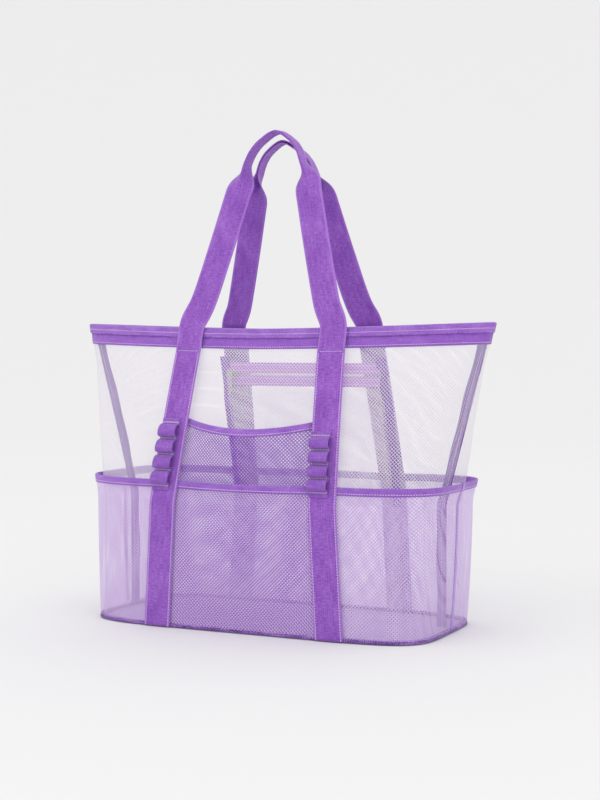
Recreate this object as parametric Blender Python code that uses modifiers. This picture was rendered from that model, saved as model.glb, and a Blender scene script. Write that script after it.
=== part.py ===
"""Open-topped mesh beach tote: bound mesh panels, webbing straps and handles, pockets and a zip.

Metres, +Z up, front of the bag towards -Y, resting on z = 0. Every wall and layer is placed on one
master surface: at each height the bag's outline is a superellipse, walked by its arc length.
Position on the wall is (f, h, off): f is the fraction of the way round (0 front centre, 0.5 right
side seam, 1 back centre), h the height up the fabric, off the distance outside the wall's middle.
"""
import math

import bmesh
import bpy
import numpy as np
from mathutils import Matrix, Vector

# --- driving sizes -----------------------------------------------------------------------------
BASE_W, BASE_D, BASE_N = 0.457, 0.216, 5.5      # base outline: width, depth, squareness
RIM_W, RIM_D, RIM_N = 0.575, 0.106, 1.95        # rim outline
FLARE_H = 0.160                                 # walls are upright up to here
RIM_H, RIM_SAG = 0.385, 0.0075                  # rim at the side seams, and its dip in the middle
MESH_T = 0.0006                                 # netting
WEB_W, WEB_T = 0.036, 0.0014                    # strap and handle webbing
BAND_H = 0.0250                                 # webbing band sewn round the rim
POCKET_H, POCKET_BULGE = 0.186, 0.0095          # lower pocket band, between the straps
SIDE_BULGE_LEFT, SIDE_BULGE_RIGHT = 0.0036, 0.0085   # the same band round the sides
UPPER_H, UPPER_BULGE, UPPER_SAG = 0.269, 0.0185, 0.014
BIND_H = 0.0095                                 # folded binding on the pocket tops
STRAP_X_BASE, STRAP_X_RIM = 0.1195, 0.0985       # strap centre from the middle of the bag
LOOP_W, LOOP_OUT = 0.025, 0.0100                # loop tape, and how far a loop stands out
LOOP_PITCH_LEFT, LOOP_PITCH_RIGHT, LOOPS = 0.0200, 0.0172, 4
LOOP_LOW = 0.181                                # lowest stitch row of the loops
GRIP_TOP, GRIP_W, GRIP_T = 0.629, 0.018, 0.0032
BACK_GRIP_DROP = 0.011                          # the rear grip hangs this much lower
ZIP_Z, ZIP_W, ZIP_TAPE = 0.3170, 0.225, 0.013   # inner zip: height, length, width of one tape
ZIP_POCKET_LOW = 0.140
GAP = 0.0004                                    # clearance between neighbouring pieces

# --- derived layer offsets -----------------------------------------------------------------------
BIND_R = MESH_T / 2 + 0.0012                    # half thickness of a folded binding
UPPER_OFF = MESH_T / 2 + GAP + BIND_R
LOWER_OFF = UPPER_OFF + MESH_T / 2 + GAP + BIND_R
STRAP_OFF = LOWER_OFF + BIND_R + GAP + WEB_T / 2
LOOP_OFF = STRAP_OFF + WEB_T / 2 + GAP + 0.0006
BAND_TOP = RIM_H - 0.0015
BAND_LOW = BAND_TOP - BAND_H
WALL_LOW = 0.0075

PURPLE = (0.330, 0.120, 0.610)
DARK = (0.250, 0.085, 0.480)
LILAC = (0.620, 0.430, 0.850)
PALE = (0.840, 0.780, 0.920)
PINK = (0.760, 0.560, 0.860)
METAL = (0.560, 0.560, 0.580)

for old in list(bpy.data.objects):
    bpy.data.objects.remove(old, do_unlink=True)


# --- master surface --------------------------------------------------------------------------------
def outline(h):
    """Half width, half depth and exponent of the bag's outline at fabric height h."""
    t = max(0.0, (h - FLARE_H) / (RIM_H - FLARE_H))
    return (BASE_W / 2 + (RIM_W - BASE_W) / 2 * t,
            BASE_D / 2 + (RIM_D - BASE_D) / 2 * t ** 1.05,
            BASE_N + (RIM_N - BASE_N) * min(1.0, t))


TABLES = {}


def table(h):
    """Arc length, x and y along a quarter of the outline, from front centre to the side."""
    key = round(h, 6)
    if key not in TABLES:
        a, b, n = outline(h)
        angle = math.pi / 2 * (0.5 - 0.5 * np.cos(np.linspace(0, math.pi, 1500)))
        x = a * np.sin(angle) ** (2 / n)
        y = b * np.abs(np.cos(angle)) ** (2 / n)
        y[-1] = 0.0
        length = np.concatenate([[0.0], np.cumsum(np.hypot(np.diff(x), np.diff(y)))])
        TABLES[key] = (length, x, y)
    return TABLES[key]


def quarter(h):
    return table(h)[0][-1]


def sag(x, h):
    return RIM_SAG * (h / RIM_H) ** 2 * (1 - min(1.0, abs(x) / outline(h)[0]) ** 1.5)


def point(f, h, off=0.0):
    """Position on the wall; f runs from -1 to 1 round the bag."""
    a, b, n = outline(h)
    length, xs, ys = table(h)
    side = abs(f)
    back = side > 0.5
    walk = (1 - side if back else side) * 2 * length[-1]
    x, y = float(np.interp(walk, length, xs)), float(np.interp(walk, length, ys))
    nx, ny = (x / a) ** (n - 1) / a, (y / b) ** (n - 1) / b
    size = math.hypot(nx, ny)
    x, y, z = x + off * nx / size, y + off * ny / size, h - sag(x, h)
    return Vector((math.copysign(x, f), y if back else -y, z))


def f_at(x, h):
    """Fraction round the front at which the wall has this x."""
    length, xs, _ = table(h)
    return math.copysign(float(np.interp(abs(x), xs, length)) / (2 * length[-1]), x)


def wall_y(x, z):
    """Depth of the rear wall at x and true height z."""
    h = z
    for _ in range(8):
        h = z + sag(x, h)
    return point(1 - f_at(x, h), h).y


def corner(h):
    a, _, n = outline(h)
    return f_at(a * 0.5 ** (1 / n), h)


def strap_x(h):
    return STRAP_X_BASE + (STRAP_X_RIM - STRAP_X_BASE) * min(1.0, h / RIM_H)


def strap_f(h):
    return f_at(strap_x(h), h)


def span_f(h, width):
    return width / (4 * quarter(h))


# --- mesh helpers --------------------------------------------------------------------------------
def material(obj, colour, metallic=0.0, roughness=0.75):
    mat = bpy.data.materials.new(obj.name)
    mat.use_nodes = True
    shader = mat.node_tree.nodes["Principled BSDF"]
    shader.inputs["Base Color"].default_value = (*colour, 1)
    shader.inputs["Metallic"].default_value = metallic
    shader.inputs["Roughness"].default_value = roughness
    obj.data.materials.append(mat)


def add(name, bm, colour, metallic=0.0, roughness=0.75):
    bmesh.ops.recalc_face_normals(bm, faces=bm.faces)
    mesh = bpy.data.meshes.new(name)
    bm.to_mesh(mesh)
    bm.free()
    obj = bpy.data.objects.new(name, mesh)
    bpy.context.scene.collection.objects.link(obj)
    material(obj, colour, metallic, roughness)
    return obj


def sheet(name, rows, colour, thickness=MESH_T):
    """An open grid of points, thickened about its middle."""
    bm = bmesh.new()
    grid = [[bm.verts.new(p) for p in row] for row in rows]
    for low, high in zip(grid, grid[1:]):
        for i in range(len(low) - 1):
            bm.faces.new((low[i], low[i + 1], high[i + 1], high[i]))
    obj = add(name, bm, colour)
    solid = obj.modifiers.new("Thickness", "SOLIDIFY")
    solid.thickness = thickness
    solid.offset = 0.0
    solid.use_even_offset = True
    return obj


def sweep(name, stations, colour, ring=False, metallic=0.0, roughness=0.75):
    """Skin a run of thick-path sections, each a pair of point lists (outer side, inner side)."""
    bm = bmesh.new()
    loops = [[bm.verts.new(p) for p in list(outer) + list(inner)[::-1]] for outer, inner in stations]
    count = len(loops[0])
    pairs = list(zip(loops, loops[1:])) + ([(loops[-1], loops[0])] if ring else [])
    for one, two in pairs:
        for k in range(count):
            nxt = (k + 1) % count
            bm.faces.new((one[k], one[nxt], two[nxt], two[k]))
    if not ring:
        for end in (loops[0], loops[-1]):
            for k in range(count // 2 - 1):
                bm.faces.new((end[k], end[k + 1], end[count - 2 - k], end[count - 1 - k]))
    return add(name, bm, colour, metallic, roughness)


def block(name, low, high, colour, metallic=0.0, roughness=0.75):
    low, high = Vector(low), Vector(high)
    bm = bmesh.new()
    bmesh.ops.create_cube(bm, size=1.0)
    bmesh.ops.scale(bm, vec=high - low, verts=bm.verts)
    bmesh.ops.translate(bm, vec=(low + high) / 2, verts=bm.verts)
    return add(name, bm, colour, metallic, roughness)


def smooth(t):
    t = min(1.0, max(0.0, t))
    return t * t * (3 - 2 * t)


def grid_steps():
    """Shared steps round the bag, closer at the corners and at the rim's pointed ends."""
    steps = {round(0.04 * k, 6) for k in range(26) if not 10 < k < 15}
    for centre, offsets in ((CORNER, (0, 0.009, 0.019, 0.031)), (1 - CORNER, (0, 0.009, 0.019, 0.031)),
                            (0.5, (0, SEAM, 0.006, 0.012, 0.019, 0.027, 0.036, 0.048, 0.062))):
        for step in offsets:
            steps |= {round(centre + step, 6), round(centre - step, 6)}
    keep = [0.0]
    for step in sorted(steps)[1:]:
        if step - keep[-1] > 0.0055 or abs(step - 0.5) < 0.008:
            keep.append(step)
    return [-step for step in keep[:0:-1]] + keep


def spread(start, end):
    """The shared steps between two ends."""
    return [start] + [f for f in GRID if start + 0.0004 < f < end - 0.0004] + [end]


def hinge_at(obj, place):
    """Move the object's origin to its joint's axis without moving its shape."""
    obj.data.transform(Matrix.Translation(-place))
    obj.location = place


def mirror_y(points):
    return [Vector((p.x, -p.y, p.z)) for p in points]


# --- body: panels, floor, seams ------------------------------------------------------------------
CORNER = corner(POCKET_H)
SEAM = span_f(RIM_H, 0.0012)
GRID = grid_steps()
RIM_ROWS = [BAND_LOW + (BAND_TOP - BAND_LOW) * k / 3 for k in range(4)]
HEIGHTS = sorted([WALL_LOW, 0.060, 0.120, FLARE_H, POCKET_H, 0.215, 0.245, 0.275, 0.305, 0.332])
HEIGHTS += RIM_ROWS
round_front = spread(-0.5 + SEAM, 0.5 - SEAM)
front_rows = [[point(f, h) for f in round_front] for h in HEIGHTS]
sheet("front_panel", front_rows, PALE)
sheet("back_panel", [mirror_y(row) for row in front_rows], PALE)

round_all = GRID[:-1]


def thick_ring(profile_out, profile_in):
    return [([point(f, h, off) for off, h in profile_out], [point(f, h, off) for off, h in profile_in])
            for f in round_all]


floor_edge = [point(f, 0.001, -0.0024) for f in round_all]
floor = bmesh.new()
floor.faces.new([floor.verts.new((p.x, p.y, 0.0)) for p in floor_edge])
bottom = add("bottom_panel", floor, LILAC)
floor_solid = bottom.modifiers.new("Thickness", "SOLIDIFY")
floor_solid.thickness = 0.0010
floor_solid.offset = -1.0 if bottom.data.polygons[0].normal.z < 0 else 1.0

seam_out = LOWER_OFF + MESH_T / 2 + GAP + 0.0004
sweep("bottom_seam_binding", thick_ring([(seam_out, 0.0003), (seam_out, 0.0058)],
                                        [(-0.0020, 0.0003), (-0.0020, 0.0058)]), DARK, ring=True)

for name, sign in (("side_seam_tape_left", -1), ("side_seam_tape_right", 1)):
    run = []
    for h in HEIGHTS[:-3]:
        x = outline(h)[0]
        run.append(([Vector((sign * (x - 0.0012), y, h)) for y in (-0.0009, 0.0009)],
                    [Vector((sign * (x - 0.0105), y, h)) for y in (-0.0009, 0.0009)]))
    sweep(name, run, PURPLE)

# --- rim: webbing band outside, folded binding over the edge ----------------------------------------
band_in, band_out = MESH_T / 2 + 0.0006, MESH_T / 2 + 0.0018
sweep("rim_band", thick_ring([(band_out, h) for h in RIM_ROWS],
                             [(band_in, h) for h in RIM_ROWS]), PURPLE, ring=True)
over, under, fold = band_out + 0.0007, -MESH_T / 2 - 0.0007, 0.0008
bind_low = RIM_ROWS[2] - 0.0025
sweep("rim_binding",
      thick_ring([(over + fold, bind_low), (over + fold, RIM_H), (under - fold, RIM_H),
                  (under - fold, bind_low)],
                 [(over, bind_low), (over, RIM_H - fold), (under, RIM_H - fold),
                  (under, bind_low)]), PURPLE, ring=True)


# --- pockets -----------------------------------------------------------------------------------
def swell(f, low, high, power=0.8):
    """0 at the stitch lines at low and high, 1 half way between them."""
    return math.sin(math.pi * (f - low) / (high - low)) ** power if low < f < high else 0.0


def strap_edge(h):
    """Fractions of the strap's two edges, with a little room for the pocket to leave it."""
    at, half = strap_f(h), span_f(h, WEB_W + 0.004)
    return at - half, at + half


def rise_at(h):
    """How far the lower pocket band stands out at h, from 0 at the floor to 1 at its top."""
    return math.sin(math.pi / 2 * min(1.0, h / POCKET_H)) ** 0.8


def lower_off(f, h):
    """The lower pocket band: tight at the straps, slack in front and round the sides."""
    near, far = strap_edge(h)
    hang = BASE_D / 2 - outline(h)[1]
    if abs(f) < far:
        return LOWER_OFF + (POCKET_BULGE * rise_at(h) + hang) * swell(f, -near, near)
    bulge = SIDE_BULGE_LEFT if f < 0 else SIDE_BULGE_RIGHT
    return LOWER_OFF + (bulge * rise_at(h) + hang * math.cos(math.pi * f) ** 2) * swell(
        abs(f), far, 1 - far, 0.5)


def upper_off(f, h):
    near = strap_edge(h)[0]
    low = 0.0020 * math.sin(math.pi / 2 * min(1.0, h / POCKET_H))
    return UPPER_OFF + (low + (UPPER_BULGE - low) * smooth((h - 0.175) / 0.080)) * swell(
        f, -near, near)


def lower_steps(h):
    """Steps from side seam to side seam, close together at the corners."""
    near, far = strap_edge(h)
    end = 0.5 - span_f(h, 2 * GAP)
    marks = ((far, CORNER - 0.035, 5), (CORNER - 0.035, CORNER + 0.035, 8), (CORNER + 0.035, end, 6))
    half = list(np.linspace(0, near, 7)) + [strap_f(h), far]
    for start, stop, count in marks:
        half += list(np.linspace(start, stop, count))[1:]
    return [-f for f in half[:0:-1]] + half


def upper_steps(h):
    half = list(np.linspace(0, strap_edge(h)[0], 9)) + [strap_f(h)]
    return [-f for f in half[:0:-1]] + half


def upper_drop(f, h):
    return UPPER_SAG * (1 - (f / strap_f(h)) ** 2) * smooth((h - 0.19) / 0.05)


def pocket(name, steps, rows, off, colour, drop=lambda f, h: 0.0, flip=False):
    """A netting pocket and the folded binding along its top edge."""
    turn = mirror_y if flip else list
    top = rows[-1]
    high, low = top + BIND_R, top + BIND_R - BIND_H
    inside = BIND_R - 0.0005

    def at(f, h, extra=0.0):
        return point(f, h - drop(f, h), off(f, h) + extra)

    heights = rows[:-1] + [low, top]
    sheet(name, [turn([at(f, h) for f in steps(h)]) for h in heights], colour)
    run = []
    for k in range(len(steps(top))):
        outer = [at(steps(h)[k], h, e) for e, h in ((BIND_R, low), (BIND_R, high), (-BIND_R, high),
                                                    (-BIND_R, low))]
        inner = [at(steps(h)[k], h, e) for e, h in ((inside, low), (inside, high - 0.0005),
                                                    (-inside, high - 0.0005), (-inside, low))]
        run.append((turn(outer), turn(inner)))
    sweep(name + "_binding", run, PURPLE)


LOWER_ROWS = [h for h in (WALL_LOW, 0.040, 0.080, 0.120, FLARE_H) if h < POCKET_H] + [POCKET_H]
pocket("front_pocket", lower_steps, LOWER_ROWS, lower_off, LILAC)
pocket("back_pocket", lower_steps, LOWER_ROWS, lower_off, LILAC, flip=True)
pocket("upper_pocket", upper_steps, [WALL_LOW, 0.050, 0.100, FLARE_H, 0.180, 0.200, 0.220, 0.240, UPPER_H],
       upper_off, LILAC, upper_drop)


# --- straps and loop tapes ---------------------------------------------------------------------
def strap_station(h, sign, low, high):
    """A slice across a strap at height h between two offsets."""
    steps = [sign * strap_f(h) + k * span_f(h, WEB_W) for k in (-1, -0.5, 0, 0.5, 1)]
    return [point(f, h, high) for f in steps], [point(f, h, low) for f in steps]


STRAP_TOP = BAND_LOW - 0.0036
strap_heights = [0.0012, 0.040, 0.085, 0.125, FLARE_H, 0.180, 0.200, 0.225, 0.250, 0.275, 0.300, 0.330,
                 STRAP_TOP]
for side, sign in (("left", -1), ("right", 1)):
    run = [strap_station(h, sign, STRAP_OFF - WEB_T / 2, STRAP_OFF + WEB_T / 2)
           for h in strap_heights]
    sweep("front_strap_" + side, run, PURPLE)
    sweep("back_strap_" + side, [(mirror_y(o), mirror_y(i)) for o, i in run], PURPLE)

for side, sign, pitch in (("left", -1, LOOP_PITCH_LEFT), ("right", 1, LOOP_PITCH_RIGHT)):
    path = [(LOOP_LOW - 0.006, 0.0), (LOOP_LOW - 0.001, 0.0)]
    for k in range(LOOPS):
        for t in np.linspace(0.09, 0.91, 9):
            rise = max(0.0, math.sin(math.pi * (t - 0.09) / 0.82)) ** 0.62
            path.append((LOOP_LOW + (k + t) * pitch, LOOP_OUT * rise))
    path += [(LOOP_LOW + LOOPS * pitch + 0.001, 0.0), (LOOP_LOW + LOOPS * pitch + 0.006, 0.0)]
    hs, rises = np.array(path).T
    slope = np.arctan2(np.gradient(rises), np.gradient(hs))
    stations = []
    for k in (-1, -0.5, 0, 0.5, 1):
        outer, inner = [], []
        for h, rise, tilt in zip(hs, rises, slope):
            mid = sign * strap_f(h) - span_f(h, WEB_W - LOOP_W - 0.001)
            f = mid + k * span_f(h, LOOP_W)
            for side_list, way in ((outer, 1), (inner, -1)):
                side_list.append(point(f, h - way * 0.0006 * math.sin(tilt),
                                       LOOP_OFF + rise + way * 0.0006 * math.cos(tilt)))
        stations.append((outer, inner))
    sweep("loop_tape_" + side, stations, PURPLE)


# --- handles -----------------------------------------------------------------------------------
HINGE = point(strap_f(BAND_LOW), BAND_LOW, STRAP_OFF)
RIM_EDGE = point(strap_f(RIM_H), RIM_H + 0.004, STRAP_OFF + 0.0012)


def catmull(points, per):
    """Smooth curve through the points."""
    ext = [2 * points[0] - points[1]] + points + [2 * points[-1] - points[-2]]
    out = []
    for i in range(1, len(ext) - 2):
        p0, p1, p2, p3 = ext[i - 1:i + 3]
        for k in range(per):
            t = k / per
            out.append(0.5 * (2 * p1 + (p2 - p0) * t + (2 * p0 - 5 * p1 + 4 * p2 - p3) * t * t
                              + (3 * p1 - p0 - 3 * p2 + p3) * t ** 3))
    return out + [points[-1]]


def handle(drop, flip):
    """Sections of one handle: a leg up from each strap, folded in half and turned for the grip."""
    top = GRIP_TOP - drop
    rise = top - RIM_EDGE.z
    top_y = -(GRIP_W / 2 + 0.0015)
    lean = [(0.12, 0.0865), (0.38, 0.0690), (0.62, 0.0540), (0.75, 0.0460), (0.83, 0.0400),
            (0.90, 0.0325), (0.955, 0.0205)]
    marks = [HINGE, RIM_EDGE] + [
        Vector((x, RIM_EDGE.y + (top_y - RIM_EDGE.y) * t, RIM_EDGE.z + rise * t)) for t, x in lean]
    half = catmull(marks + [Vector((0, top_y, top)), Vector((-0.022, top_y, top - 0.035 * rise))], 4)
    half = [p for p in half if p.x >= -1e-9]
    half[-1].x = 0.0
    line = half + [Vector((-p.x, p.y, p.z)) for p in half[-2::-1]]
    stations = []
    for i, p in enumerate(line):
        ahead, behind = line[min(i + 1, len(line) - 1)], line[max(i - 1, 0)]
        along = (ahead - behind).normalized()
        t = (p.z - RIM_EDGE.z) / rise
        fold = smooth((t - 0.70) / 0.16)
        width = WEB_W + (GRIP_W - WEB_W) * fold
        thick = WEB_T + (GRIP_T - WEB_T) * fold
        side = Vector((0, -1, 0)).cross(along).normalized()
        flat = along.cross(side).normalized()
        turn = math.radians(90) * smooth((t - 0.74) / 0.18) * (1 if p.x >= 0 else -1)
        across = side * math.cos(turn) + flat * math.sin(turn)
        normal = along.cross(across).normalized()
        outer = [p + across * width * k / 2 + normal * thick / 2 for k in (-1, 0, 1)]
        inner = [p + across * width * k / 2 - normal * thick / 2 for k in (-1, 0, 1)]
        stations.append((outer, inner))
    if flip:
        stations = [(mirror_y(o), mirror_y(i)) for o, i in stations]
    return stations


def straighten(stations):
    """Keep each section's corners in step with the one before, so the skin does not cross."""
    done = [stations[0]]
    for outer, inner in stations[1:]:
        last = done[-1]
        ways = [(outer, inner), (inner, outer), (outer[::-1], inner[::-1]),
                (inner[::-1], outer[::-1])]
        done.append(min(ways, key=lambda w: sum((p - q).length for p, q in zip(
            w[0] + w[1], last[0] + last[1]))))
    return done


front = sweep("front_handle", straighten(handle(0.0, False)), PURPLE)
hinge_at(front, Vector((0, HINGE.y, HINGE.z)))
rear = sweep("back_handle", straighten(handle(BACK_GRIP_DROP, True)), PURPLE)
hinge_at(rear, Vector((0, -HINGE.y, HINGE.z)))

# --- inner zip pocket ----------------------------------------------------------------------------
half_zip = ZIP_W / 2
zip_y = wall_y(half_zip, ZIP_Z + 0.0025 + ZIP_TAPE) - 0.0014
coil = 0.0016
for name, sign in (("zip_tape_upper", 1), ("zip_tape_lower", -1)):
    z0, z1 = sorted((ZIP_Z + sign * 0.0025, ZIP_Z + sign * (0.0025 + ZIP_TAPE)))
    block(name, (-half_zip, zip_y - 0.0004, z0), (half_zip, zip_y + 0.0004, z1), PINK)
    name = name.replace("tape", "coil")
    z0, z1 = sorted((ZIP_Z + sign * 0.0006, ZIP_Z + sign * (0.0006 + coil)))
    block(name, (-half_zip + 0.0025, zip_y - coil / 2, z0), (half_zip - 0.0025, zip_y + coil / 2, z1),
          PINK, roughness=0.5)
for name, sign in (("zip_stop_left", -1), ("zip_stop_right", 1)):
    x0, x1 = sorted((sign * (half_zip - 0.0021), sign * (half_zip + 0.0009)))
    block(name, (x0, zip_y - 0.0012, ZIP_Z - 0.0021), (x1, zip_y + 0.0012, ZIP_Z + 0.0021),
          METAL, 0.8, 0.35)

low_y = wall_y(half_zip, ZIP_POCKET_LOW) - 0.0036
panel_top = ZIP_Z - 0.0025 - ZIP_TAPE - GAP
rows = []
for t in np.linspace(0, 1, 8):
    z = ZIP_POCKET_LOW + (panel_top - ZIP_POCKET_LOW) * t
    y = low_y + (zip_y - low_y) * t
    rows.append([Vector((half_zip * k, y - 0.006 * math.cos(math.pi / 2 * k) * math.sin(math.pi * t), z))
                 for k in np.linspace(-1, 1, 11)])
sheet("zip_pocket_panel", rows, PALE)

for side, sign in (("left", -1), ("right", 1)):
    run = []
    for h in sorted((0.142, FLARE_H, POCKET_H, 0.205, 0.230, 0.260, 0.290, 0.320, 0.345)):
        x = half_zip + 0.0062
        steps = [1 - f_at(x + 0.0045 * k, h) for k in (-1, 0, 1)]
        run.append(([point(sign * f, h, -0.0008) for f in steps],
                    [point(sign * f, h, -0.0018) for f in steps]))
    sweep("zip_binding_" + side, run, PURPLE)

slider_x = -half_zip + 0.0025 + 0.0065
front, back = zip_y - coil / 2 - GAP, zip_y + coil / 2 + GAP
profile = [(front - 0.0012, -0.0045), (front - 0.0012, 0.0045), (front, 0.0045), (front, 0.0003),
           (back, 0.0003), (back, 0.0045), (back + 0.0010, 0.0045), (back + 0.0010, -0.0045),
           (back, -0.0045), (back, -0.0003), (front, -0.0003), (front, -0.0045)]
bm = bmesh.new()
ends = [[bm.verts.new((x, y, ZIP_Z + z)) for y, z in profile] for x in (slider_x - 0.006, slider_x + 0.006)]
for k in range(12):
    bm.faces.new((ends[0][k], ends[0][(k + 1) % 12], ends[1][(k + 1) % 12], ends[1][k]))
for end in ends:
    bm.faces.new(end)
slider = add("zip_slider", bm, METAL, 0.8, 0.35)

plate = front - 0.0012
bar_y = plate - 0.0029
bridge = [(-0.0042, plate + 0.0004), (-0.0042, bar_y - 0.0007), (0.0042, bar_y - 0.0007),
          (0.0042, plate + 0.0004)]
hollow = [(-0.0030, plate + 0.0004), (-0.0030, bar_y + 0.0007), (0.0030, bar_y + 0.0007),
          (0.0030, plate + 0.0004)]
crown = sweep("crown_helper", [([Vector((slider_x + x, y, z)) for x, y in bridge],
                                [Vector((slider_x + x, y, z)) for x, y in hollow])
                               for z in (ZIP_Z - 0.0007, ZIP_Z + 0.0007)], METAL)
crown.hide_render = True
crown.display_type = "WIRE"
join = slider.modifiers.new("Crown", "BOOLEAN")
join.operation = "UNION"
join.solver = "EXACT"
join.object = crown
hinge_at(slider, Vector((slider_x, zip_y, ZIP_Z)))

tab_outer, tab_inner = [(-0.0025, -0.0250), (-0.0025, -0.0120)], [(-0.00135, -0.0250), (-0.00135, -0.0120)]
for degree in range(180, -61, -24):
    turn = math.radians(degree)
    tab_outer.append((0.0025 * math.cos(turn), 0.0025 * math.sin(turn)))
    tab_inner.append((0.00135 * math.cos(turn), 0.00135 * math.sin(turn)))
pull = sweep("zip_pull", [([Vector((x, y, z)) for y, z in tab_outer],
                           [Vector((x, y, z)) for y, z in tab_inner])
                          for x in (-0.0024, 0.0024)], METAL, metallic=0.8, roughness=0.35)
pull.location = (slider_x, bar_y, ZIP_Z)
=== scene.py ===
"""Looks for the mesh beach tote: real netting, woven webbing, folded bindings, stitches and a zip.

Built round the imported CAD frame, in metres. A place on the bag's wall is (f, h, off): f is the
fraction of the way round (0 front centre, 0.5 right side seam, 1 back centre), h the height up the
fabric and off the distance outside the wall's middle, as in the part's own source.
"""
import math

import bpy
import numpy as np
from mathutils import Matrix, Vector


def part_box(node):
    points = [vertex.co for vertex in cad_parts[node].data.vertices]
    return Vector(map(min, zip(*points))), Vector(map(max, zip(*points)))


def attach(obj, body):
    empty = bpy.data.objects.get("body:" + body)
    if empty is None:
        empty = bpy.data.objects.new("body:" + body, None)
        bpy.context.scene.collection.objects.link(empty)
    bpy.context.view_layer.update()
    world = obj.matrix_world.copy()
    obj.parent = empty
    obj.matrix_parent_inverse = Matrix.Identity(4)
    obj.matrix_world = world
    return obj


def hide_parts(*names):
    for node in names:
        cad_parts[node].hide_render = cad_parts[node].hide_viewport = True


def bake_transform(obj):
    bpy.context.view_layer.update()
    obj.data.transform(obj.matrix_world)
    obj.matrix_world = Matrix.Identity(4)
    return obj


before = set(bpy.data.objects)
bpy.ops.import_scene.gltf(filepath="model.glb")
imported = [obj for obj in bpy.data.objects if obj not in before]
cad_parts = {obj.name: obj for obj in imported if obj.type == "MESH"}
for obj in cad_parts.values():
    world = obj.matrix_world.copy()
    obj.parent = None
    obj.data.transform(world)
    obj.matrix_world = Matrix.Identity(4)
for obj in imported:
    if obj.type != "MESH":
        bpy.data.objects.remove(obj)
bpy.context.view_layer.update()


# --- sizes, read from the frame or repeated from the part's driving dimensions --------------------
def side(node, axis, end):
    """One face of a CAD node's box; end is 0 for the low side and 1 for the high one."""
    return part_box(node)[end][axis]


RIM_H = side("rim_binding", 2, 1)
RIM_SAG = 0.0075
BASE_W, BASE_D, BASE_N = 0.457, 0.216, 5.5
RIM_W, RIM_D, RIM_N = 0.575, 0.106, 1.95
FLARE_H = 0.160
MESH_T = 0.0006
WEB_W, WEB_T = 0.036, 0.0014
BAND_TOP = RIM_H - 0.0015
BAND_LOW = BAND_TOP - 0.0250
POCKET_H, POCKET_BULGE = 0.186, 0.0095
SIDE_BULGE_LEFT, SIDE_BULGE_RIGHT = 0.0036, 0.0085
UPPER_H, UPPER_BULGE, UPPER_SAG = 0.269, 0.0185, 0.014
BIND_H, BIND_R = 0.0095, 0.0015
STRAP_X_BASE, STRAP_X_RIM = 0.1195, 0.0985
LOOP_W, LOOP_OUT, LOOP_LOW, LOOPS = 0.025, 0.0085, 0.181, 4
LOOP_PITCH = {"left": 0.0200, "right": 0.0172}
GRIP_TOP = side("front_handle", 2, 1) - 0.0016
BACK_GRIP_DROP = side("front_handle", 2, 1) - side("back_handle", 2, 1)
GRIP_W = 0.018
ZIP_Z = (side("zip_tape_upper", 2, 0) + side("zip_tape_lower", 2, 1)) / 2
ZIP_Y = (side("zip_tape_upper", 1, 0) + side("zip_tape_upper", 1, 1)) / 2
ZIP_HALF = side("zip_tape_upper", 0, 1)
ZIP_TAPE = side("zip_tape_upper", 2, 1) - side("zip_tape_upper", 2, 0)
ZIP_POCKET_LOW = side("zip_pocket_panel", 2, 0)
GAP = 0.0004
UPPER_OFF = MESH_T / 2 + GAP + BIND_R
LOWER_OFF = UPPER_OFF + MESH_T / 2 + GAP + BIND_R
STRAP_OFF = LOWER_OFF + BIND_R + GAP + WEB_T / 2
LOOP_OFF = STRAP_OFF + WEB_T / 2 + GAP + 0.0006
WALL_LOW = 0.0075
NET_LOW = WALL_LOW - 0.003            # where the netting starts, inside the bottom binding
HOLE_PITCH = 0.00225                  # half the netting's repeat, across and up
FRONT_YARN, BACK_YARN = 0.00042, 0.00038         # half diagonal of a knot in each netting
POCKET_YARN, INNER_YARN = 0.00056, 0.00072
YARN_RELIEF = 0.00010                 # how far the knots' corners stand out, in turn
HALF_ROUND = 0.66                     # longer than half the way round the bag at any height
RIPPLE = 0.0007                       # unevenness of slack netting
SEAM_TAPE_DEPTH = 0.0125              # side seam tape, from the seam inwards
STITCH_PITCH, STITCH_LENGTH = 0.0033, 0.0026
STITCH_WIDTH, STITCH_HEIGHT = 0.00100, 0.00050
STITCH_INSET = 0.0020                 # from a strap's edge to its row of stitches
FOLD_DEPTH, FOLD_STITCH = 0.0125, 0.0072         # rim binding and its stitches, below the rim
FOLD_FROM, FOLD_OVER = 0.68, 0.17     # shares of a handle's rise where its webbing folds double
ZIP_GAP = 0.0025                      # from the zip's middle to the edge of each CAD tape
ZIP_BOW, ZIP_STANDOFF = 0.006, 0.0036            # the zip pocket's netting, off the back wall
ZIP_BIND_LOW, ZIP_BIND_TOP, ZIP_BIND_STEP = 0.142, 0.345, 0.28

CAMERA_AZ, CAMERA_EL, CAMERA_DISTANCE = 25.62, 2.295, 2.0385
CAMERA_SIDE, CAMERA_HEIGHT, LENS = 0.0242, 0.2855, 70.9
WORLD, KEY = 1.09, 10.0               # strength of the sky, and watts of the key light


# --- the bag's wall -------------------------------------------------------------------------------
def outline(h):
    """Half width, half depth and roundness of the bag at h; it flares above FLARE_H."""
    t = max(0.0, (h - FLARE_H) / (RIM_H - FLARE_H))
    return (BASE_W / 2 + (RIM_W - BASE_W) / 2 * t,
            BASE_D / 2 + (RIM_D - BASE_D) / 2 * t ** 1.05,
            BASE_N + (RIM_N - BASE_N) * min(1.0, t))


TABLES = {}


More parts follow.
